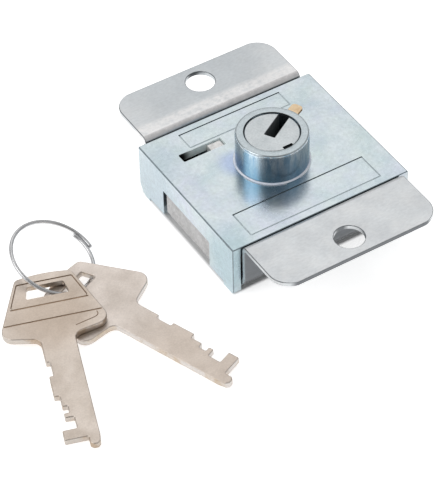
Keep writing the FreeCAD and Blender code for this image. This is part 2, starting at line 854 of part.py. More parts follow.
if __name__ == "__main__":
    os.makedirs("parts", exist_ok=True)
    for node, shape in all_parts().items():
        shape.exportStep("parts/%s.step" % node)
        print("%-18s solids %d  volume %9.2f  valid %s" % (node, len(shape.Solids), shape.Volume, shape.isValid()))
    print("throw %.3f" % throw)
    for index in range(lever_count):
        print("lever %d swing %.3f leaf %.3f" % (index + 1, lever_swing(index), leaf_swing(index)))
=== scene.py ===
"""Boxed garage door lock with two flat keys on a wire ring, dressed for a studio picture.

All shape sizes are in millimetres in the part's own frame: +Z out of the lock's face, the
barrel's axis at the origin, the ears' front faces at height 0, and the table at height -16.9.
"""

import math

import bmesh
import bpy
import numpy as np
from mathutils import Matrix, Vector


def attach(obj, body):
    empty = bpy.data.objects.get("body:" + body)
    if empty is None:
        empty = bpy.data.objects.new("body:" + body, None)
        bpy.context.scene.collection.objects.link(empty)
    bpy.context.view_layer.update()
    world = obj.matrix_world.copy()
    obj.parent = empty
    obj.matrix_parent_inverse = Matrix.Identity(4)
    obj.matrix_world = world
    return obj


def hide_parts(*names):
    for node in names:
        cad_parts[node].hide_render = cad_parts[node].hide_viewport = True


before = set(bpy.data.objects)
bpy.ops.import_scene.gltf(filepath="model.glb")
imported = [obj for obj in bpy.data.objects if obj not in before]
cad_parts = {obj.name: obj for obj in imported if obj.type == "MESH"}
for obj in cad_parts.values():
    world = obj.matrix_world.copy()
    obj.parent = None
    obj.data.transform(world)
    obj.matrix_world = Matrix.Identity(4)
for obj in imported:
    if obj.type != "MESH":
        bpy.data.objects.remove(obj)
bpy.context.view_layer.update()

MM = 0.001

# Heights
face_z = -0.9          # the cover's face
ceiling_z = -3.4       # the inner side of that face
table_z = -16.9        # the table, and the cover's feet on it
base_low_z = -15.8     # the back of the frame's base
base_top_z = -14.5     # the inner side of the base

# How far cutters stand past an open edge of what they cut, and above or below a face
past_edge = 2.0
past_face = 1.0

# Cover
cover_half_x = 27.05
cover_half_y = 23.3
cover_wall = 2.5
foot_length = 4.8
near_bevel = 0.9                       # at the heels of the near feet
far_heel = 4.2                         # radius at the heels of the far feet
bolt_window = (-11.7, 11.2, -7.3)      # near end, far end and top
inspection_slot = (-19.85, -6.95, 11.6, 14.5)                  # left, right, near and far edge
stamped_frames = ((15.9, 15.2, 21.3), (20.1, -21.1, -12.0))    # half width, near and far edge

# Frame
frame_half = 24.45
sheet = 1.3
wall_middle_y = 24.25
ear_end_y = 42.0
ear_hole_y = 35.75
ear_hole_radius = 4.05
ear_corner = 6.0
ear_bend = 1.15                        # radii in the sheet's middle
base_bend = 4.35
pillar_x, pillar_y = 21.15, 17.5
screw_neck, screw_head = 1.55, 2.75    # radii of a back screw's sink, inside and outside
rivets = ((-7.5, -12.3, 1.1), (12.5, -12.3, 1.1), (18.0, 12.5, 1.1), (9.5, 19.0, 0.7))    # x, y, radius

# Barrel, with its brass tab
boss_radius = 9.75
boss_top_z = 8.8
bore_radius = 7.4
spigot_radius = boss_radius - 0.9      # the collar's neck in the cover's hole
foot_cove, foot_lip = 0.55, 0.15
rim_round, mouth_round = 0.6, 0.25
tool_line_drop = 0.75
tab_top_z = boss_top_z - 1.5
tab_thick, tab_half, tab_reach = 0.8, 1.6, 4.1
tab_angle = 27.0

# Plug
plug_radius = 7.32
plug_top_z = 8.55
drum_radius = 4.2
hub_radius = 8.22
keyway_half = 1.5
keyway_start, keyway_end = -1.65, 9.0
keyway_angle = 31.0
notch_left, notch_right = -0.95, 1.95
notch_depth, notch_width = 0.6, 1.05

# Keys, drawn flat: the back of the blade on the X axis, its tip at +X and the head at -X
key_thickness = 2.0
blade_width = 8.85
blade_tip = ((28.3, 0.0, 0.3), (30.3, 0.3, 0.5), (31.0, 1.0, 0.5), (31.0, 2.2, 0.5), (30.3, 2.9, 0.5),
             (28.3, 2.9, 0.35))        # x, y and corner radius
blade_cuts = ((28.3, 0.0), (25.1, 3.7), (21.5, 1.4), (20.0, 2.8), (17.9, 1.4), (14.5, 0.0), (7.8, 1.1),
              (3.4, 0.0))              # from each x on towards the head, this deep
cut_round = 0.35
head_corners = ((-4.4, blade_width / 2, 2.2), (-6.6, 14.5, 3.0), (-25.2, 7.4, 1.6))  # x, half width, radius
head_top, head_crown = -26.4, 35.0     # x and radius of the head's flat arch
ring_hole = (22.2, 4.8, 18.2, 5.7)     # each fan: top, half width there, bottom, half width there
sunk_panel = (23.4, 7.2, 15.7, 10.0)
panel_depth = 0.2
banner_lines = ((-15.6, 10.1), (-10.65, 12.6))    # x and half length

# Where each key lies: x, y and height over the table, then heading, pitch and roll in degrees
key_1_pose = (-70.63, -19.75, 1.92, -108.91, 3.30, 1.67)
key_2_pose = (-57.21, -21.28, 0.50, -68.31, 0.56, 3.56)

# Ring
ring_radius = 11.1                     # of its first half turn, in the wire's middle
wire_radius = 0.55
ring_step = 1.2                        # how far the last arc lies outside the first
ring_middle = (-61.55, 9.1, table_z + 5.0)
ring_turns = ((137.0, "Z"), (-23.4, "Y"), (-104.8, "Z"))    # heading, tilt, and place of the ends


# Colours and materials
def linear(code):
    """sRGB hex value as linear RGBA: the sRGB curve, undone channel by channel."""
    s = np.array([int(code[i:i + 2], 16) for i in (1, 3, 5)]) / 255
    rgb = np.where(s <= 0.04045, s / 12.92, ((s + 0.055) / 1.055) ** 2.4)
    return (*rgb.tolist(), 1.0)


def add(tree, kind, inputs=None, **settings):
    """Adds a node with its settings, and links or fills its inputs."""
    made = tree.nodes.new(kind)
    for name, value in settings.items():
        setattr(made, name, value)
    for key, value in (inputs or {}).items():
        if isinstance(value, bpy.types.NodeSocket):
            tree.links.new(value, made.inputs[key])
        else:
            made.inputs[key].default_value = value
    return made


def blank_material(name):
    """New material with an empty tree, the object's coordinates and normals, and its output."""
    material = bpy.data.materials.new(name)
    material.use_nodes = True
    tree = material.node_tree
    tree.nodes.clear()
    place = add(tree, "ShaderNodeTexCoord")
    output = add(tree, "ShaderNodeOutputMaterial")
    return material, tree, place.outputs["Object"], place.outputs["Normal"], output


def per_mm(size):
    """Noise scale whose features are about size millimetres across."""
    return 1 / (size * MM)


def spotted(tree, place, colour, spots):
    """Colour with soft round spots laid over it: each has its middle and radius in mm, its tint, and
    its share in the middle."""
    for middle, radius, tint, share in spots:
        away = add(tree, "ShaderNodeVectorMath", {0: place, 1: tuple(c * MM for c in middle)},
                   operation="DISTANCE")
        near = add(tree, "ShaderNodeMapRange", {
            "Value": away.outputs["Value"], "From Min": radius * MM, "From Max": radius * MM * 0.3,
            "To Min": 0.0, "To Max": share}, interpolation_type="SMOOTHSTEP")
        mixed = add(tree, "ShaderNodeMix", {0: near.outputs[0], 6: colour, 7: linear(tint)}, data_type="RGBA")
        colour = mixed.outputs[2]
    return colour


def coat(tree, output, colour, specks, brightness, dulling, roughness, height, relief, metallic=1.0):
    """Metal shader that every finish ends in: specks take the colour between two brightnesses, the
    dulling noise takes the roughness between two values, and height gives a relief of 0.1 mm."""
    speckle = add(tree, "ShaderNodeMapRange", {
        "Value": specks, "From Min": 0.3, "From Max": 0.7, "To Min": brightness[0], "To Max": brightness[1]})
    speckled = add(tree, "ShaderNodeVectorMath", {0: colour, 1: speckle.outputs[0]}, operation="MULTIPLY")
    rough = add(tree, "ShaderNodeMapRange", {
        "Value": dulling, "From Min": 0.3, "From Max": 0.7, "To Min": roughness[0], "To Max": roughness[1]})
    bump = add(tree, "ShaderNodeBump", {"Height": height, "Strength": relief, "Distance": 0.1 * MM})
    shader = add(tree, "ShaderNodeBsdfPrincipled", {
        "Base Color": speckled.outputs[0], "Metallic": metallic, "Roughness": rough.outputs[0],
        "Normal": bump.outputs[0]})
    tree.links.new(shader.outputs[0], output.inputs[0])


def plated_steel(name, base, tints, roughness, grain=0.5, fleck=0.06, stretch=(1, 1, 1), relief=0.04,
                 metallic=1.0, spots=(), ends=None, band=None):
    """Sheet metal, drawn and mostly zinc plated and passivated: a thin clear film gives clouds of
    faint tints, each with its share and size, and handling leaves it dull in patches of 9 mm. The
    plating's crystals are finer than 0.1 mm, so their grain is drawn coarser, to show. Spots are
    tints round a place. Ends is a painted shade: the tint of the faces that look along Y. Band is a
    painted highlight, a patchy strip across Y: its middle and half width in mm, its tint and its share."""
    material, tree, place, normal, output = blank_material(name)
    colour = linear(base)
    for step, (tint, share, size) in enumerate(tints):
        moved = add(tree, "ShaderNodeMapping", {
            "Vector": place, "Location": (0.013 * step, 0.031 * step, 0.007 * step)})
        clouds = add(tree, "ShaderNodeTexNoise", {
            "Vector": moved.outputs[0], "Scale": per_mm(size), "Detail": 4.0, "Roughness": 0.55})
        amount = add(tree, "ShaderNodeMapRange", {
            "Value": clouds.outputs["Fac"], "From Min": 0.42, "From Max": 0.68, "To Min": 0.0,
            "To Max": share})
        mixed = add(tree, "ShaderNodeMix", {0: amount.outputs[0], 6: colour, 7: linear(tint)},
                    data_type="RGBA")
        colour = mixed.outputs[2]
    colour = spotted(tree, place, colour, spots)
    # The band is a painted highlight, broken into patches
    if band:
        middle, half, tint, share = band
        spot = add(tree, "ShaderNodeSeparateXYZ", {0: place})
        away = add(tree, "ShaderNodeMath", {0: spot.outputs[1], 1: middle * MM}, operation="SUBTRACT")
        distance = add(tree, "ShaderNodeMath", {0: away.outputs[0]}, operation="ABSOLUTE")
        near = add(tree, "ShaderNodeMapRange", {
            "Value": distance.outputs[0], "From Min": half * MM, "From Max": half * MM * 0.4,
            "To Min": 0.0, "To Max": share}, interpolation_type="SMOOTHSTEP")
        highlight_breaks = add(tree, "ShaderNodeTexNoise", {
            "Vector": place, "Scale": per_mm(1.6), "Detail": 4.0, "Roughness": 0.6})
        patchy = add(tree, "ShaderNodeMapRange", {
            "Value": highlight_breaks.outputs["Fac"], "From Min": 0.36, "From Max": 0.56, "To Min": 0.5,
            "To Max": 1.0})
        wear_and_highlight = add(tree, "ShaderNodeMath", {0: near.outputs[0], 1: patchy.outputs[0]},
                     operation="MULTIPLY")
        mixed = add(tree, "ShaderNodeMix", {0: wear_and_highlight.outputs[0], 6: colour, 7: linear(tint)},
                    data_type="RGBA")
        colour = mixed.outputs[2]
    # The ends tint is a painted shade on the faces that look along Y
    if ends:
        facing = add(tree, "ShaderNodeSeparateXYZ", {0: normal})
        along = add(tree, "ShaderNodeMath", {0: facing.outputs[1]}, operation="ABSOLUTE")
        share = add(tree, "ShaderNodeMapRange", {
            "Value": along.outputs[0], "From Min": 0.86, "From Max": 0.98, "To Min": 0.0, "To Max": 1.0})
        mixed = add(tree, "ShaderNodeMix", {0: share.outputs[0], 6: colour, 7: linear(ends)},
                    data_type="RGBA")
        colour = mixed.outputs[2]
    drawn = add(tree, "ShaderNodeMapping", {"Vector": place, "Scale": stretch})
    crystals = add(tree, "ShaderNodeTexNoise", {
        "Vector": drawn.outputs[0], "Scale": per_mm(grain), "Detail": 3.0, "Roughness": 0.6})
    dulled = add(tree, "ShaderNodeTexNoise", {
        "Vector": place, "Scale": per_mm(9.0), "Detail": 5.0, "Roughness": 0.6})
    coat(tree, output, colour, crystals.outputs["Fac"], (1 - 1.4 * fleck, 1 + fleck),
         dulled.outputs["Fac"], roughness, crystals.outputs["Fac"], relief, metallic)
    return material


def key_metal(name, face, edge, flat, spots=()):
    """Nickel plated key blank, worn in a pocket: satin faces with soft blotches of 7 mm, and edges
    whose plating is polished bright, or worn through to the brass in patches of 5 mm. The faces look
    along flat, and the edges away from it. The pits are drawn coarser than life, to show."""
    material, tree, place, normal, output = blank_material(name)
    blotches = add(tree, "ShaderNodeTexNoise", {
        "Vector": place, "Scale": per_mm(7.0), "Detail": 5.0, "Roughness": 0.6})
    amount = add(tree, "ShaderNodeMapRange", {
        "Value": blotches.outputs["Fac"], "From Min": 0.35, "From Max": 0.7, "To Min": 0.0, "To Max": 0.7})
    flats = add(tree, "ShaderNodeMix", {0: amount.outputs[0], 6: linear(face[0]), 7: linear(face[1])},
                data_type="RGBA")
    tinted = spotted(tree, place, flats.outputs[2], spots)
    across = add(tree, "ShaderNodeVectorMath", {0: normal, 1: flat}, operation="DOT_PRODUCT")
    level = add(tree, "ShaderNodeMath", {0: across.outputs["Value"]}, operation="ABSOLUTE")
    side = add(tree, "ShaderNodeMapRange", {
        "Value": level.outputs[0], "From Min": 0.96, "From Max": 0.55, "To Min": 0.0, "To Max": 1.0})
    wear_and_highlight = add(tree, "ShaderNodeTexNoise", {
        "Vector": place, "Scale": per_mm(5.0), "Detail": 4.0, "Roughness": 0.6})
    brassy = add(tree, "ShaderNodeMapRange", {
        "Value": wear_and_highlight.outputs["Fac"], "From Min": 0.5, "From Max": 0.68, "To Min": 0.0, "To Max": 0.8})
    rim = add(tree, "ShaderNodeMix", {0: brassy.outputs[0], 6: linear(edge[0]), 7: linear(edge[1])},
              data_type="RGBA")
    worn = add(tree, "ShaderNodeMix", {0: side.outputs[0], 6: tinted, 7: rim.outputs[2]}, data_type="RGBA")
    pits = add(tree, "ShaderNodeTexNoise", {
        "Vector": place, "Scale": per_mm(0.45), "Detail": 3.0, "Roughness": 0.6})
    coat(tree, output, worn.outputs[2], pits.outputs["Fac"], (0.92, 1.05), blotches.outputs["Fac"],
         (0.34, 0.48), pits.outputs["Fac"], 0.05)
    return material


def turned_steel(name, top, wall, foot, stain, roughness):
    """Turned and plated bar steel: tool rings, drawn 0.25 mm apart to show, stack along the axis,
    under upright stains of the blue passivation, 2.2 mm wide, on a wall that changes tint from its
    rim to its foot. Flat ends stay plain."""
    material, tree, place, normal, output = blank_material(name)
    rings = add(tree, "ShaderNodeMapping", {"Vector": place, "Scale": (0.02, 0.02, 1.0)})
    tooling = add(tree, "ShaderNodeTexNoise", {
        "Vector": rings.outputs[0], "Scale": per_mm(0.25), "Detail": 2.0, "Roughness": 0.5})
    height = add(tree, "ShaderNodeSeparateXYZ", {0: place})
    sunk = add(tree, "ShaderNodeMapRange", {
        "Value": height.outputs[2], "From Min": boss_top_z * MM, "From Max": (face_z + 2.0) * MM,
        "To Min": 0.0, "To Max": 1.0})
    upright = add(tree, "ShaderNodeMapping", {"Vector": place, "Scale": (1.0, 1.0, 0.2)})
    stains = add(tree, "ShaderNodeTexNoise", {
        "Vector": upright.outputs[0], "Scale": per_mm(2.2), "Detail": 5.0, "Roughness": 0.65})
    amount = add(tree, "ShaderNodeMapRange", {
        "Value": stains.outputs["Fac"], "From Min": 0.44, "From Max": 0.58, "To Min": 0.0, "To Max": 0.8})
    side = add(tree, "ShaderNodeMix", {0: sunk.outputs[0], 6: linear(wall), 7: linear(foot)},
               data_type="RGBA")
    stained = add(tree, "ShaderNodeMix", {0: amount.outputs[0], 6: side.outputs[2], 7: linear(stain)},
                  data_type="RGBA")
    facing = add(tree, "ShaderNodeSeparateXYZ", {0: normal})
    flat = add(tree, "ShaderNodeMapRange", {
        "Value": facing.outputs[2], "From Min": 0.35, "From Max": 0.85, "To Min": 0.0, "To Max": 1.0})
    colour = add(tree, "ShaderNodeMix", {0: flat.outputs[0], 6: stained.outputs[2], 7: linear(top)},
                 data_type="RGBA")
    grain = add(tree, "ShaderNodeTexNoise", {
        "Vector": place, "Scale": per_mm(0.5), "Detail": 3.0, "Roughness": 0.6})
    coat(tree, output, colour.outputs[2], grain.outputs["Fac"], (0.88, 1.08), stains.outputs["Fac"],
         roughness, tooling.outputs["Fac"], 0.1)
    return material


def key_turn(pose):
    """Place of a key: roll about its length, then pitch, then heading, then its position."""
    x, y, height, heading, pitch, roll = pose
    turn = Matrix.Rotation(math.radians(heading), 4, "Z")
    turn = turn @ Matrix.Rotation(math.radians(pitch), 4, "Y")
    turn = turn @ Matrix.Rotation(math.radians(roll), 4, "X")
    return Matrix.Translation(Vector((x, y, table_z + height)) * MM) @ turn


def key_normal(pose):
    """Direction that a key's faces look in: the third column of its turning matrix."""
    return tuple(key_turn(pose).to_3x3().col[2])


# Bright zinc with a blue film: cool silver with faint blue, lilac and green clouds, greyer down the
# left flange, and a blue spot beside the barrel that is a painted reflection of the barrel
zinc_cover = plated_steel(
    "bright_zinc_plated_steel", "#c7d0d4",
    [("#b3c7cc", 0.6, 9.0), ("#c2c4d5", 0.5, 12.0), ("#c8d3d0", 0.5, 4.0)], (0.2, 0.3), grain=1.1,
    relief=0.08, spots=[((-8.6, 3.8, face_z), 6.5, "#97a9d6", 0.55),
                        ((-27, -20, -8), 13.0, "#a5bbc2", 0.8), ((-27, 14, -9), 15.0, "#b1bfc7", 0.8)])
# Zinc stretched at the folds and broken at the sheared ends: thin, dull grey lines round the faces
zinc_rim = plated_steel(
    "zinc_plated_bend_and_sheared_rim", "#8d999f", [("#75828a", 0.6, 3.0)], (0.4, 0.5), fleck=0.12)
# Satin zinc, finely streaked along X: pale neutral grey, with painted shade on the end walls, a
# painted highlight as a white band at the far bend, and a cooler shade towards the far ear's end
zinc_frame = plated_steel(
    "satin_zinc_plated_steel", "#d4d7d9", [("#c8cbce", 0.5, 9.0), ("#dadbdb", 0.5, 4.0)], (0.36, 0.46),
    grain=0.6, fleck=0.05, stretch=(0.5, 1, 1), ends="#74777a",
    spots=[((0, 40, 0), 30.0, "#bcc2c6", 0.6)], band=(26.2, 3.6, "#f1efee", 0.7))
# Painted shade on the bends of the base, where the table shades them: soft dark grey
frame_heel = plated_steel(
    "shaded_heel_of_the_frame", "#63676a", [("#565a5d", 0.6, 3.0)], (0.45, 0.55), metallic=0.6)
# Painted highlight over the far ear's bend: broken white
frame_bend = plated_steel(
    "painted_highlight_on_the_frame_bend", "#d9d8d8", [("#eceaea", 0.7, 1.6)], (0.45, 0.55), metallic=0.5)
# Sheared edge, plated thinly: rougher and darker than the faces
frame_rim = plated_steel(
    "sheared_frame_rim", "#868a8d", [("#6c7073", 0.6, 3.0)], (0.4, 0.5), fleck=0.12)
# Painted light and shade in the slot: its wall nearly white and not metallic, and black over its outer end
slot_wall = plated_steel(
    "sheared_slot_wall", "#eefafa", [("#ffffff", 0.6, 1.2)], (0.5, 0.6), metallic=0.0,
    spots=[((-19.9, 14.5, -2.2), 4.4, "#0c0d0f", 1.0)])
# Ground steel without plating: warm mid grey with coarse flecks
bolt_steel = plated_steel(
    "ground_bolt_steel", "#bdbcbc", [("#a6a5a4", 0.7, 2.5)], (0.42, 0.55), grain=0.6, fleck=0.14,
    relief=0.1)
# Freshly milled steel: a pale matt block, mottled
stump_steel = plated_steel(
    "milled_stump_steel", "#f0eeec", [("#cbc9c7", 0.7, 1.2)], (0.4, 0.5), metallic=0.5)
# Pressed steel with a thick blue film: distinctly blue-green silver
lever_steel = plated_steel(
    "blue_passivated_lever_steel", "#a9c6cc", [("#8fb2ba", 0.6, 4.0)], (0.3, 0.42))
# Turned steel, lightly oiled: plain mid grey
mechanism_steel = plated_steel(
    "plain_turned_steel", "#a8a9aa", [("#8d8f91", 0.6, 3.0)], (0.32, 0.45))
# Hardened strip, blued by its heat: darker grey with a blue cast
spring_steel = plated_steel("blued_spring_strip", "#8a8c92", [("#70737c", 0.6, 3.0)], (0.3, 0.4))
# Rolled brass: pale warm yellow, satin
tab_brass = plated_steel(
    "half_hard_brass_sheet", "#e6cfae", [("#cba87e", 0.6, 2.0)], (0.4, 0.5), grain=0.3)
# Cut edge of the brass, tarnished: brown
cut_brass = plated_steel("tarnished_brass_edge", "#9a7b55", [("#7f6344", 0.6, 1.5)], (0.45, 0.55))
# Turned collar: glossy wall with upright streaks, bluer towards its foot, and a plain grey rim
boss_steel = turned_steel(
    "turned_zinc_plated_collar", "#b4bdc1", "#dbe4ea", "#8ca8bd", "#789fb9", (0.18, 0.28))
# Edge of the collar's foot: a thin bright line round it, a painted highlight
boss_foot = plated_steel(
    "painted_highlight_on_the_foot_bead", "#f2f5fd", [("#cfdaf0", 0.6, 2.0)], (0.3, 0.4), metallic=0.15)
# Faced end of the plug: even satin grey
plug_steel = plated_steel(
    "satin_plug_face", "#cdd2d4", [("#bac1c4", 0.6, 3.0)], (0.34, 0.46), fleck=0.08)
# Broached wall with old oil: dark, half metallic grey
keyway_steel = plated_steel(
    "oiled_keyway_wall", "#7c8285", [("#55595c", 0.6, 2.0)], (0.4, 0.5), metallic=0.4)
# Painted shade: a near-black line in the gap round the plug and in its notch
notch_steel = plated_steel(
    "painted_shade_in_gap_and_notch", "#303336", [("#26292b", 0.6, 2.0)], (0.5, 0.6), metallic=0.3)
# Nickel on brass, polished by use: warm pinkish silver, browner on one's head and the other's blade
key_1_metal = key_metal(
    "nickel_plated_key_face", ("#d8cdc3", "#c8bbae"), ("#c6beb6", "#b09a82"), key_normal(key_1_pose),
    [((-70.9, -7.0, -14.5), 17.0, "#bcaa99", 0.6)])
key_2_metal = key_metal(
    "nickel_plated_plain_key", ("#d9cfc7", "#c9beb4"), ("#d4cec9", "#bfab92"), key_normal(key_2_pose),
    [((-47.0, -38.0, -15.5), 24.0, "#c6b8ab", 0.6)])
# Stamped lines hold dirt: brown on the nickel and faint grey on the zinc, and the dark grey at the
# far side of each zinc frame is painted shade
stamped_line = plated_steel("stamped_line_in_nickel", "#a8917c", [("#8a7560", 0.6, 2.0)], (0.5, 0.6))
stamped_zinc = plated_steel("faint_stamped_line_in_zinc", "#bcc7cb", [("#aab6bb", 0.6, 3.0)], (0.45, 0.55))
deep_stamp = plated_steel("painted_shade_in_far_stamped_line", "#6a767d", [("#89959c", 0.6, 3.0)], (0.45, 0.55))
# Drawn wire, bright and smooth: light grey with hardly any grain
ring_steel = plated_steel(
    "drawn_bright_ring_wire", "#cdcdce", [("#b4b4b6", 0.6, 2.0)], (0.2, 0.3), fleck=0.03, relief=0.02)


# Shapes
def surface(name, points, caps=False, material=None):
    """Mesh of a grid of points in mm, rows by columns by three. Each cell is one face, and the columns
    join round. So do the rows, or else, where caps is set, a flat face closes the first and the last.
    Points are rounded to a nanometre, so that faces meant to lie in one plane do so when cut."""
    rows, columns = points.shape[:2]
    index = np.arange(rows * columns).reshape(rows, columns)
    if not caps:
        index = np.vstack([index, index[:1]])
    index = np.hstack([index, index[:, :1]])
    cells = np.stack([index[:-1, :-1], index[:-1, 1:], index[1:, 1:], index[1:, :-1]], axis=-1)
    faces = cells.reshape(-1, 4).tolist()
    if caps:
        faces += [index[0, :columns][::-1].tolist(), index[-1, :columns].tolist()]
    mesh = bpy.data.meshes.new(name)
    mesh.from_pydata((np.round(points.reshape(-1, 3), 6) * MM).tolist(), [], faces)
    shape = bmesh.new()
    shape.from_mesh(mesh)
    bmesh.ops.recalc_face_normals(shape, faces=shape.faces)
    shape.to_mesh(mesh)
    shape.free()
    piece = bpy.data.objects.new(name, mesh)
    bpy.context.scene.collection.objects.link(piece)
    if material:
        mesh.materials.append(material)
    return piece


def rounded(corners, radii, steps=7):
    """Closed outline with arcs for corners. Each arc's centre lies on the corner's bisector, its radius
    over the sine of half the corner away, and the arc turns evenly from one edge to the next."""
    p = np.array(corners, float)
    r = np.broadcast_to(np.array(radii, float), (len(p),))[:, None]
    back = np.roll(p, 1, 0) - p
    ahead = np.roll(p, -1, 0) - p
    back /= np.linalg.norm(back, axis=1, keepdims=True)
    ahead /= np.linalg.norm(ahead, axis=1, keepdims=True)
    half = np.arccos(np.clip((back * ahead).sum(1, keepdims=True), -1, 1)) / 2
    bisector = (back + ahead) / np.linalg.norm(back + ahead, axis=1, keepdims=True)
    centre = p + bisector * r / np.sin(half)
    first = p + back * r / np.tan(half) - centre
    last = p + ahead * r / np.tan(half) - centre
    sweep = (math.pi - 2 * half)[:, None]
    s = np.linspace(0, 1, steps)[None, :, None]
    arcs = (np.sin((1 - s) * sweep) * first[:, None] + np.sin(s * sweep) * last[:, None]) / np.sin(sweep)
    return (centre[:, None] + arcs).reshape(-1, 2)


def arc(x, y, radius, start, end, steps):
    """Points spread evenly round x, y from one angle to another: radius times cosine and sine."""
    a = np.linspace(start, end, steps)
    return np.stack([x + radius * np.cos(a), y + radius * np.sin(a)], 1)


def circle(radius, x=0.0, y=0.0, steps=96):
    """Closed outline: points spread evenly once round x, y."""
    return arc(x, y, radius, 0, 2 * math.pi, steps + 1)[:-1]


def rectangle(x0, x1, y0, y1, radius):
    """Closed outline of a rectangle with arcs for corners."""
    return rounded([(x0, y0), (x1, y0), (x1, y1), (x0, y1)], radius)


def turned(outline, degrees):
    """Outline turned about the origin: each point times the turning matrix of that angle."""
    a = math.radians(degrees)
    return outline @ np.array([[math.cos(a), math.sin(a)], [-math.sin(a), math.cos(a)]])


def inward(outline):
    """For each point of a counter-clockwise outline, the move that brings both its edges 1 inwards."""
    edge = np.roll(outline, -1, 0) - outline
    normal = np.stack([-edge[:, 1], edge[:, 0]], 1) / np.linalg.norm(edge, axis=1, keepdims=True)
    both = normal + np.roll(normal, 1, 0)
    return 2 * both / (both * both).sum(1, keepdims=True)


def stack(name, outline, heights, insets, axes=(0, 1, 2), material=None):
    """Solid whose cross-section at each height is the outline drawn in by that height's inset."""
    flat = outline[None] + np.array(insets)[:, None, None] * inward(outline)[None]
    points = np.empty((len(heights), len(outline), 3))
    points[:, :, axes[0]] = flat[:, :, 0]
    points[:, :, axes[1]] = flat[:, :, 1]
    points[:, :, axes[2]] = np.array(heights)[:, None]
    return surface(name, points, caps=True, material=material)


def quarter(ease, steps=4):
    """Quarter circle at a rim: how far in and how far along, from the face to the side."""
    a = np.linspace(0, math.pi / 2, steps)
    return ease * (1 - np.sin(a)), ease * (1 - np.cos(a))


def corner_inset(depth, radius):
    """How far a round corner lies inside the square one, at each depth from the end: the radius less
    the root of its square minus the square of what is left of it, and nothing past the radius."""
    left = np.maximum(radius - depth, 0)
    return radius - np.sqrt(radius ** 2 - left ** 2)


def plate(name, outline, low, high, ease, axes=(0, 1, 2), material=None):
    """Flat piece between two heights, with rims rounded by quarter circles."""
    inset, along = quarter(ease)
    heights = np.concatenate([low + along, high - along[::-1]])
    return stack(name, outline, heights, np.concatenate([inset, inset[::-1]]), axes, material)


def drill(outline, low, high, ease, axes=(0, 1, 2), material=None):
    """Cutter for a hole with rounded rims: it flares by a quarter circle at both faces."""
    inset, along = quarter(ease)
    heights = np.concatenate([[low - past_face], low + along, high - along[::-1], [high + past_face]])
    flare = -np.concatenate([[ease], inset, inset[::-1], [ease]])
    return stack("cutter", outline, heights, flare, axes, material)


def lathe(name, profile, x=0.0, y=0.0, steps=160, caps=False, material=None):
    """Profile of radius and height turned about an upright axis through x, y."""
    a = (np.arange(steps) * 2 * math.pi / steps)[None, :]
    r = profile[:, 0][:, None]
    z = np.repeat(profile[:, 1][:, None], steps, 1)
    return surface(name, np.stack([x + r * np.cos(a), y + r * np.sin(a), z], -1), caps, material)


def groove(path, half_width, depth, top, material, closed=True):
    """Cutter for a line stamped along a path: an oval, half_width by depth about the height top,
    carried along it. Across the path it moves by the inward normal, or at an open path by the
    tangent turned a quarter."""
    a = np.linspace(0, 2 * math.pi, 9)[:-1]
    if closed:
        move = inward(path)
    else:
        along = np.gradient(path, axis=0)
        move = np.stack([-along[:, 1], along[:, 0]], 1) / np.linalg.norm(along, axis=1, keepdims=True)
    points = np.empty((len(path), len(a), 3))
    points[:, :, :2] = path[:, None] + half_width * np.cos(a)[None, :, None] * move[:, None]
    points[:, :, 2] = (top + depth * np.sin(a))[None]
    return surface("cutter", points, caps=not closed, material=material)


def carve(piece, *cutters):
    """Takes the cutters' space out of the piece. A cut face keeps its cutter's material."""
    for cutter in cutters:
        cut = piece.modifiers.new("cut", "BOOLEAN")
        cut.object = cutter
        cut.operation = "DIFFERENCE"
        cut.solver = "EXACT"
        cut.material_mode = "TRANSFER"
    bpy.context.view_layer.update()
    mesh = bpy.data.meshes.new_from_object(piece.evaluated_get(bpy.context.evaluated_depsgraph_get()))
    piece.modifiers.clear()
    piece.data = mesh
    for cutter in cutters:
        bpy.data.objects.remove(cutter)


def face_table(piece):
    """For every face, as arrays of x, y and z: its middle in mm, and its normal without signs."""
    mesh = piece.data
    middles = np.empty(len(mesh.polygons) * 3)
    normals = np.empty(len(mesh.polygons) * 3)
    mesh.polygons.foreach_get("center", middles)
    mesh.polygons.foreach_get("normal", normals)
    return middles.reshape(-1, 3).T / MM, np.abs(normals.reshape(-1, 3)).T


def refinish(piece, material, chosen):
    """Gives a finish of its own to each chosen face that slants: it slants if the second largest
    part of its normal is over a fifth."""
    mesh = piece.data
    slants = np.sort(face_table(piece)[1], axis=0)[1] > 0.2
    slots = np.empty(len(mesh.polygons), dtype=np.int32)
    mesh.polygons.foreach_get("material_index", slots)
    slots[slants & chosen] = len(mesh.materials)
    mesh.materials.append(material)
    mesh.polygons.foreach_set("material_index", slots)


def finish(piece, body, node, sharp=40):
    """Smooths all but sharp edges, keeps large faces flat, and hands the piece to its body."""
    piece.data.shade_smooth()
    piece.data.set_sharp_from_angle(angle=math.radians(sharp))
    weighted = piece.modifiers.new("flat_faces_lead", "WEIGHTED_NORMAL")
    weighted.keep_sharp = True
    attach(piece, body)
    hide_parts(node)


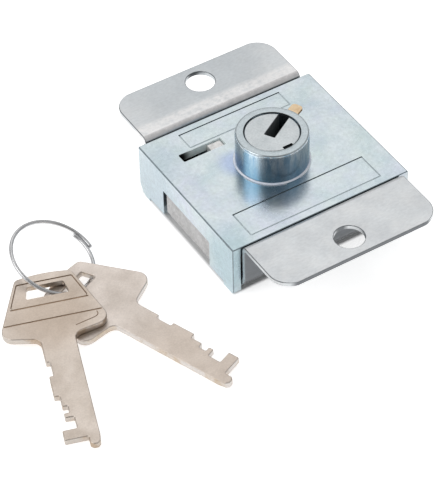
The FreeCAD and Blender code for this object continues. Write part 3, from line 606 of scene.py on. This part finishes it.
# Cover: a folded channel, with window, inspection slot and two stamped frames
def make_cover():
    """Channel section carried along Y, drawn in by a quarter circle at both ends, and then cut: the
    gap between the feet, a bevel at their near heels, an arc at their far ones, the bolt's window,
    the slot, the barrel's hole, and for each stamped frame a fine line with a deep far side."""
    outer = cover_half_x
    inner = cover_half_x - cover_wall
    foot_round, inner_fold, outer_fold, end_round = 0.25, 0.4, 0.42, 0.22
    section = rounded(
        [(-outer, table_z), (-inner, table_z), (-inner, ceiling_z), (inner, ceiling_z),
         (inner, table_z), (outer, table_z), (outer, face_z), (-outer, face_z)],
        [foot_round, foot_round, inner_fold, inner_fold, foot_round, foot_round, outer_fold, outer_fold])
    cover = plate("cover_shell", section, -cover_half_y, cover_half_y, end_round, (0, 2, 1), zinc_cover)

    below = table_z - past_edge
    foot_y = cover_half_y - foot_length
    gap = rounded([(-foot_y, below), (foot_y, below), (foot_y, base_low_z), (-foot_y, base_low_z)],
                  [0.1, 0.1, 0.3, 0.3])
    near_y = -cover_half_y
    near_heels = rounded(
        [(near_y - past_edge, below), (near_y + past_edge, below), (near_y + near_bevel, table_z),
         (near_y, table_z + near_bevel), (near_y - past_edge, table_z + past_edge)],
        [0.1, 0.1, 0.5, 0.5, 0.1])
    # The arc starts and ends just outside the faces, so that it meets neither at a grazing angle
    far_y = cover_half_y + 0.02
    far_z = table_z - 0.02
    bend = arc(far_y - far_heel, far_z + far_heel, far_heel, 0, -math.pi / 2, 17)
    over_z = far_z + far_heel + 1.0
    under_y = far_y - far_heel - 0.4
    far_heels = np.concatenate([
        [(far_y + past_edge, far_z - past_edge), (far_y + past_edge, over_z), (far_y, over_z)], bend,
        [(under_y, far_z), (under_y, far_z - past_edge)]])
    near, far, top = bolt_window
    opening = rounded([(near, below), (far, below), (far, top), (near, top)], [0.1, 0.1, 0.3, 0.3])
    cutters = [drill(outline, -outer, outer, ease, (1, 2, 0), zinc_cover)
               for outline, ease in ((gap, 0.15), (near_heels, 0.1), (far_heels, 0.1))]
    cutters.append(drill(opening, -outer, -inner, 0.15, (1, 2, 0), zinc_cover))
    # The slot's wall takes painted light, and painted shade at its outer end
    cutters.append(drill(rectangle(*inspection_slot, 0.3), ceiling_z, face_z, 0.12, material=slot_wall))
    cutters.append(drill(circle(spigot_radius), ceiling_z, face_z, 0.05, material=zinc_cover))
    line = 0.2
    for half_x, near, far in stamped_frames:
        path = rectangle(-half_x + line, half_x - line, near + line, far - line, 0.25)
        far_side = rectangle(-half_x, half_x, far - 2 * line, far, 0.15)
        cutters.append(groove(path, line, 0.1, face_z, stamped_zinc))
        # The far side's dark grey is painted shade
        cutters.append(plate("cutter", far_side, face_z - 0.2, face_z + past_face, 0.05,
                             material=deep_stamp))
    carve(cover, *cutters)
    (x, y, z), (_, ny, nz) = face_table(cover)
    folds = (z > face_z - 0.7) & (nz > 0.2) & (abs(x) > 20)
    sheared = (abs(y) > cover_half_y - 0.4) & (ny > 0.2)
    refinish(cover, zinc_rim, folds | sheared)
    finish(cover, "case", "front_cover")


# Frame: one bent strip with two ears
def make_frame():
    """Strip of sheet carried along its bent middle line, of which one half mirrors the other. Its half
    width follows a circle at each ear's corners, and its section is a rectangle with small quarter
    circles. Then it is cut: the ears' holes, the hub's hole, the screws' sinks and the rivets' holes."""
    edge = 0.2
    _, along = quarter(edge)
    turn = np.linspace(0, math.pi / 2, 13)[1:]
    depth = np.concatenate([along[:-1], edge + (1 - np.cos(turn)) * (ear_corner - edge), [ear_corner + 1.0]])
    narrow = corner_inset(depth, ear_corner)
    thin = corner_inset(depth, edge)
    ear = np.stack([ear_end_y - depth, np.full(len(depth), -sheet / 2)], 1)
    up = np.tile([0.0, 1.0], (len(depth), 1))
    upper = (math.pi / 2, math.pi, 11)
    lower = (0, -math.pi / 2, 13)
    base_middle_z = (base_low_z + base_top_z) / 2
    bend = arc(wall_middle_y + ear_bend, -sheet / 2 - ear_bend, ear_bend, *upper)
    heel = arc(wall_middle_y - base_bend, base_middle_z + base_bend, base_bend, *lower)
    half_path = np.concatenate([ear, bend, heel])
    half_side = np.concatenate([up, arc(0, 0, 1, *upper), -arc(0, 0, 1, *lower)])
    rest = np.zeros(len(bend) + len(heel))
    half_width = frame_half - np.concatenate([narrow + thin, rest])
    half_thick = sheet / 2 - np.concatenate([thin, rest])
    mirror = np.array([-1.0, 1.0])
    path = np.concatenate([half_path, half_path[::-1] * mirror])
    side = np.concatenate([half_side, half_side[::-1] * mirror])
    width = np.concatenate([half_width, half_width[::-1]])
    thick = np.concatenate([half_thick, half_thick[::-1]])

    # Round the section: four quarter circles of four points, each about its own corner
    t = np.concatenate([np.linspace(k, k + 1, 4) for k in range(4)]) * math.pi / 2
    sx = np.repeat([1, -1, -1, 1], 4)
    sz = np.repeat([1, 1, -1, -1], 4)
    lift = sz * np.maximum(thick - edge, 0.0)[:, None] + np.minimum(edge, thick)[:, None] * np.sin(t)
    points = np.empty((len(path), len(t), 3))
    points[:, :, 0] = sx * (width - edge)[:, None] + edge * np.cos(t)
    points[:, :, 1:] = path[:, None] + lift[:, :, None] * side[:, None]
    strip = surface("bent_frame", points, caps=True, material=zinc_frame)

    cutters = [drill(circle(ear_hole_radius, 0, s * ear_hole_y), -sheet, 0, 0.18, material=zinc_frame)
               for s in (-1, 1)]
    cutters.append(drill(circle(hub_radius + 0.08), base_low_z, base_top_z, 0.12, material=zinc_frame))
    sink = np.array([(screw_neck, base_top_z + past_face), (screw_neck, base_top_z),
                     (screw_head, base_low_z), (screw_head, base_low_z - past_face)])
    cutters += [lathe("cutter", sink, x, y, 48, True, zinc_frame)
                for x in (-pillar_x, pillar_x) for y in (-pillar_y, pillar_y)]
    cutters += [drill(circle(r, x, y, 32), base_low_z, base_top_z, 0.05, material=zinc_frame)
                for x, y, r in rivets]
    carve(strip, *cutters)
    (x, y, z), (nx, ny, nz) = face_table(strip)
    long_rims = (nx > 0.2) & (abs(x) > frame_half - 0.3)
    ear_rims = (nz > 0.2) & (abs(y) > 28.0)
    refinish(strip, frame_rim, long_rims | ear_rims)
    bends = nx < 0.1
    # Painted shade on the heels of the base
    refinish(strip, frame_heel, bends & (ny > 0.2) & (z < -11.0))
    # Painted highlight on the far ear's bend
    refinish(strip, frame_bend, bends & (ny > 0.15) & (y > wall_middle_y) & (y < 26.5) & (z > -3.0))
    finish(strip, "case", "mounting_frame")


# Barrel
def make_boss():
    """Collar: closed profile of radius and height, turned about the barrel's axis. Its foot is a
    quarter-circle cove, and a tool line runs under its rounded rim."""
    foot = boss_radius + foot_cove
    foot_z = face_z + 0.02
    cove = arc(foot, face_z + foot_lip + foot_cove, foot_cove, -math.pi / 2, -math.pi, 9)
    rim = arc(boss_radius - rim_round, boss_top_z - rim_round, rim_round, 0, math.pi / 2, 8)
    mouth = arc(bore_radius + mouth_round, boss_top_z - mouth_round, mouth_round, math.pi / 2, math.pi, 5)
    line_z = boss_top_z - tool_line_drop
    profile = np.concatenate([
        [(bore_radius, ceiling_z), (spigot_radius, ceiling_z), (spigot_radius, foot_z), (foot, foot_z)],
        cove, [(boss_radius, line_z - 0.1), (boss_radius - 0.12, line_z), (boss_radius, line_z + 0.1)],
        rim, mouth])
    boss = lathe("barrel_collar", profile, steps=192, material=boss_steel)
    carve(boss, tab_plate(0.03))
    (x, y, z), _ = face_table(boss)
    radius = np.hypot(x, y)
    # Painted highlight round the collar's foot
    refinish(boss, boss_foot, (z > face_z + 0.03) & (z < face_z + 0.5) & (radius > boss_radius + 0.02))
    # Painted shade in the gap round the plug
    refinish(boss, notch_steel, (z > boss_top_z - 0.4) & (radius < bore_radius + 0.2))
    finish(boss, "case", "barrel_boss")


def tab_plate(extra, material=None):
    """Brass tab's plate, or with extra on all sides the cutter for its seat: a rectangle with two
    round outer corners, turned to its own direction."""
    inner = bore_radius + 0.3
    outer = boss_radius + tab_reach
    half = tab_half + extra
    outline = rounded([(inner, -half), (outer, -half), (outer, half), (inner, half)], [0.2, 1.0, 1.0, 0.2])
    return plate("brass_tab", turned(outline, tab_angle), tab_top_z - tab_thick - extra,
                 tab_top_z + extra, 0.12, material=material)


def make_tab():
    """Tab, with the tarnished finish on its slanting rims."""
    tab = tab_plate(0.0, tab_brass)
    _, (_, _, nz) = face_table(tab)
    refinish(tab, cut_brass, nz < 0.5)
    finish(tab, "case", "locating_tab")


def make_plug():
    """Core: open profile of radius and height, turned and closed by its two flat ends, then slotted
    for the blade and notched at the near rim."""
    profile = np.array([
        (plug_radius - 0.35, plug_top_z), (plug_radius - 0.17, plug_top_z - 0.05),
        (plug_radius - 0.05, plug_top_z - 0.17), (plug_radius, plug_top_z - 0.35),
        (plug_radius, ceiling_z), (drum_radius, ceiling_z), (drum_radius, base_low_z)])
    plug = lathe("plug_core", profile, caps=True, material=plug_steel)
    blade = rounded([(keyway_start, keyway_half), (keyway_start, -keyway_half), (keyway_end, -keyway_half),
                     (keyway_end, keyway_half)], 0.25)
    keyway = drill(turned(blade, keyway_angle), base_low_z - 1.0, plug_top_z, 0.12, material=keyway_steel)
    nick = rectangle(notch_left, notch_right, -plug_radius - past_face, -plug_radius + notch_width, 0.08)
    # The notch takes the painted shade
    notch = plate("cutter", nick, plug_top_z - notch_depth, plug_top_z + past_face, 0.05,
                  material=notch_steel)
    carve(plug, keyway, notch)
    finish(plug, "plug_body", "plug")


# Keys
def key_outline():
    """Outline of blade and head, counter-clockwise, from the straight back round the tip: the tip's
    corners, two for each step of the cuts, then the head's, up one side and down the other."""
    corners = [(x, y) for x, y, _ in blade_tip]
    radii = [radius for _, _, radius in blade_tip]
    before = 0.0
    for x, depth in blade_cuts:
        if depth != before:
            corners.append((x, blade_width - before))
            radii.append(cut_round)
        corners.append((x, blade_width - depth))
        radii.append(cut_round)
        before = depth
    middle = blade_width / 2
    corners += [(x, middle + half) for x, half, _ in head_corners]
    corners += [(head_top, middle)]
    corners += [(x, middle - half) for x, half, _ in reversed(head_corners)]
    head_radii = [radius for _, _, radius in head_corners]
    return rounded(corners, radii + head_radii + [head_crown] + head_radii[::-1])


def fan(top, top_half, bottom, bottom_half, radius):
    """Outline of a shape that widens evenly from the head's top towards its blade."""
    c = blade_width / 2
    return rounded([(-top, c - top_half), (-bottom, c - bottom_half), (-bottom, c + bottom_half),
                    (-top, c + top_half)], radius)


def lobe_line():
    """Line inside one lobe's edge: straight down from the banner, a parabola round the lobe's
    corner, and straight on beside the lower edge to the blade."""
    t = np.linspace(0, 1, 9)[:, None]
    start, corner, end = np.array([[-9.9, 11.1], [-8.4, 11.9], [-7.9, 9.6]])
    bend = (1 - t) ** 2 * start + 2 * t * (1 - t) * corner + t ** 2 * end
    path = np.concatenate([bend, [(-7.3, 7.4), (-6.7, 5.2)]])
    return np.stack([path[:, 0], blade_width / 2 - path[:, 1]], 1)


def make_key(name, pose, body, node, metal, flip):
    """Key blank drawn flat, pierced and stamped on its lower face, turned over where flip is set, then
    laid in its place on the table."""
    key = plate(name, key_outline(), 0, key_thickness, 0.3, material=metal)
    hole = drill(fan(*ring_hole, 0.6), 0, key_thickness, 0.4, material=metal)
    rim = fan(*sunk_panel, 0.5)
    panel = plate("cutter", rim, -past_face, panel_depth, 0.08, material=metal)
    border = groove(rim, 0.14, panel_depth, 0.08, stamped_line)
    lobe = groove(lobe_line(), 0.12, 0.12, 0.0, stamped_line, closed=False)
    c = blade_width / 2
    lines = [plate("cutter", rectangle(x, x + 0.42, c - half, c + half, 0.1), -past_face, 0.12, 0.04,
                   material=stamped_line) for x, half in banner_lines]
    carve(key, hole, panel, border, lobe, *lines)
    turn = Matrix.Identity(4)
    if flip:
        turn = Matrix.Translation((0, 0, key_thickness * MM)) @ Matrix.Rotation(math.pi, 4, "X")
    key.data.transform(key_turn(pose) @ turn)
    finish(key, body, node)


# Ring
def make_ring():
    """Wire carried along three flat arcs, the last one outside the first: half a turn about the
    middle, half a turn about a point half a step aside, and 28 degrees about the middle again. Its
    section is a circle, drawn in at the two ends."""
    a = np.radians(np.concatenate([np.linspace(0, 360, 181), np.linspace(362, 388, 14)]))
    grown = np.where(a < math.pi, 0.0, np.where(a < 2 * math.pi, ring_step / 2, ring_step))
    shift = np.where((a >= math.pi) & (a < 2 * math.pi), ring_step / 2, 0.0)
    radius = ring_radius + grown
    centre = np.stack([shift + radius * np.cos(a), -radius * np.sin(a)], 1)
    out = np.stack([np.cos(a), -np.sin(a)], 1)
    t = np.arange(20) * 2 * math.pi / 20
    thick = np.full(len(a), wire_radius)
    thick[[0, -1]] = wire_radius * 0.72
    points = np.empty((len(a), len(t), 3))
    points[:, :, :2] = centre[:, None] + (thick[:, None] * np.cos(t))[:, :, None] * out[:, None]
    points[:, :, 2] = thick[:, None] * np.sin(t)
    ring = surface("split_ring", points, caps=True, material=ring_steel)
    turn = Matrix.Identity(4)
    for degrees, axis in ring_turns:
        turn = turn @ Matrix.Rotation(math.radians(degrees), 4, axis)
    ring.data.transform(Matrix.Translation(Vector(ring_middle) * MM) @ turn)
    finish(ring, "ring_body", "key_ring", sharp=50)


# Inner pieces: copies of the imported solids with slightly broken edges
def ease_edges(node, body, material, width):
    """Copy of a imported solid, its faces merged, with every sharp edge rounded a little."""
    shape = bmesh.new()
    shape.from_mesh(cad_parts[node].data)
    bmesh.ops.remove_doubles(shape, verts=shape.verts, dist=2e-6)
    bmesh.ops.dissolve_limit(shape, angle_limit=math.radians(0.5), verts=shape.verts, edges=shape.edges)
    mesh = bpy.data.meshes.new(node + "_eased")
    shape.to_mesh(mesh)
    shape.free()
    piece = bpy.data.objects.new(node + "_eased", mesh)
    bpy.context.scene.collection.objects.link(piece)
    mesh.materials.append(material)
    bevel = piece.modifiers.new("broken_edges", "BEVEL")
    bevel.width = width * MM
    bevel.segments = 2
    bevel.limit_method = "ANGLE"
    bevel.angle_limit = math.radians(40)
    finish(piece, body, node)


def dress(node, material):
    """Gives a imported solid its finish."""
    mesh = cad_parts[node].data
    mesh.materials.clear()
    mesh.materials.append(material)


make_cover()
make_frame()
make_boss()
make_tab()
make_plug()
make_key("key_with_panel", key_1_pose, "key_1_body", "key_1", key_1_metal, flip=True)
make_key("key_plain_side", key_2_pose, "key_2_body", "key_2", key_2_metal, flip=False)
make_ring()
ease_edges("bolt", "bolt_body", bolt_steel, 0.2)
ease_edges("bolt_stump", "bolt_body", stump_steel, 0.15)
ease_edges("back_screws", "case", mechanism_steel, 0.08)
ease_edges("driver", "plug_body", mechanism_steel, 0.12)
for index in range(1, 6):
    ease_edges("lever_%d" % index, "lever_%d_body" % index, lever_steel, 0.08)
    dress("lever_spring_%d" % index, spring_steel)
for node in ("drive_pin", "cover_pillars", "lever_post", "lever_washers", "spring_post", "guide_posts",
             "guide_washers"):
    dress(node, mechanism_steel)


# Studio: white table, even tent with a dimmer side round the camera, and two soft lamps
def make_floor():
    """White table top: one square face. It keeps the shadows, and looks plain white to the camera and
    in metal. Under the lock, where no light gets in, it doesn't glow."""
    material, tree, place, _, output = blank_material("white_table_board")
    board = add(tree, "ShaderNodeBsdfDiffuse", {"Color": (0.86, 0.86, 0.86, 1.0)})
    path = add(tree, "ShaderNodeLightPath")
    seen = add(tree, "ShaderNodeMath", {
        0: path.outputs["Is Camera Ray"], 1: path.outputs["Is Glossy Ray"]}, operation="MAXIMUM")
    spot = add(tree, "ShaderNodeSeparateXYZ", {0: place})
    outside = []
    for axis, half in ((0, cover_half_x), (1, cover_half_y)):
        away = add(tree, "ShaderNodeMath", {0: spot.outputs[axis]}, operation="ABSOLUTE")
        outside.append(add(tree, "ShaderNodeMapRange", {
            "Value": away.outputs[0], "From Min": (half - 0.8) * MM, "From Max": (half + 0.1) * MM,
            "To Min": 0.0, "To Max": 0.66}))
    clear = add(tree, "ShaderNodeMath", {0: outside[0].outputs[0], 1: outside[1].outputs[0]},
                operation="MAXIMUM")
    glow = add(tree, "ShaderNodeMath", {0: seen.outputs[0], 1: clear.outputs[0]}, operation="MULTIPLY")
    light = add(tree, "ShaderNodeEmission", {"Color": (1, 1, 1, 1), "Strength": glow.outputs[0]})
    both = add(tree, "ShaderNodeAddShader", {0: board.outputs[0], 1: light.outputs[0]})
    tree.links.new(both.outputs[0], output.inputs[0])
    far = 3000 * MM
    corners = [(x, y, table_z * MM) for x, y in ((-far, -far), (far, -far), (far, far), (-far, far))]
    mesh = bpy.data.meshes.new("table_top")
    mesh.from_pydata(corners, [], [(0, 1, 2, 3)])
    mesh.materials.append(material)
    floor = bpy.data.objects.new("table_top", mesh)
    bpy.context.scene.collection.objects.link(floor)


def make_sky():
    """Tent of even light, dimmer in a round patch on the side that the picture is taken from. The
    camera itself sees it as white."""
    tent_light, patch_light = 0.56, 0.28
    patch_middle = (-0.33, -0.62, 0.71)
    world = bpy.data.worlds.new("tent")
    bpy.context.scene.world = world
    world.use_nodes = True
    tree = world.node_tree
    tree.nodes.clear()
    place = add(tree, "ShaderNodeTexCoord")
    towards = add(tree, "ShaderNodeVectorMath", {0: place.outputs["Generated"], 1: patch_middle},
                  operation="DOT_PRODUCT")
    patch = add(tree, "ShaderNodeMapRange", {
        "Value": towards.outputs["Value"], "From Min": 0.78, "From Max": 0.95, "To Min": tent_light,
        "To Max": patch_light}, interpolation_type="SMOOTHSTEP")
    path = add(tree, "ShaderNodeLightPath")
    strength = add(tree, "ShaderNodeMix", {0: path.outputs["Is Camera Ray"], 2: patch.outputs[0], 3: 1.0})
    light = add(tree, "ShaderNodeBackground", {"Color": (1, 1, 1, 1), "Strength": strength.outputs[0]})
    add(tree, "ShaderNodeOutputWorld", {0: light.outputs[0]})


def make_lamp(name, place, size, power):
    """Square soft lamp that faces the lock: its place and side in metres, its power in watts."""
    data = bpy.data.lights.new(name, "AREA")
    data.size = size
    data.energy = power
    lamp = bpy.data.objects.new(name, data)
    lamp.location = place
    lamp.rotation_euler = (-Vector(place)).to_track_quat("-Z", "Y").to_euler()
    bpy.context.scene.collection.objects.link(lamp)


def make_camera():
    """Camera at the picture's angle: turned 31 degrees left of the lock's front, 45 degrees up, and
    rolled slightly. Its axes are the view's back, right and up, the last two turned by the roll."""
    azimuth, elevation, roll = (math.radians(angle) for angle in (-31.0, 44.98, -1.55))
    place = (-0.24674, -0.38159, 0.42065)
    back = Vector((math.sin(azimuth) * math.cos(elevation), -math.cos(azimuth) * math.cos(elevation),
                   math.sin(elevation)))
    right = Vector((math.cos(azimuth), math.sin(azimuth), 0))
    up = back.cross(right)
    turned_right = right * math.cos(roll) + up * math.sin(roll)
    turned_up = up * math.cos(roll) - right * math.sin(roll)
    data = bpy.data.cameras.new("studio_camera")
    data.lens = 171.95
    data.sensor_width = 36.0
    camera = bpy.data.objects.new("studio_camera", data)
    turn = Matrix((turned_right, turned_up, back)).transposed().to_4x4()
    camera.matrix_world = Matrix.Translation(place) @ turn
    bpy.context.scene.collection.objects.link(camera)
    bpy.context.scene.camera = camera


make_floor()
make_sky()
make_lamp("left_softbox", (-0.62, 0.12, 0.62), 0.6, 2.1)
make_lamp("top_softbox", (0.25, 0.45, 0.75), 0.7, 1.05)
make_camera()
bpy.context.scene.view_settings.view_transform = "Standard"
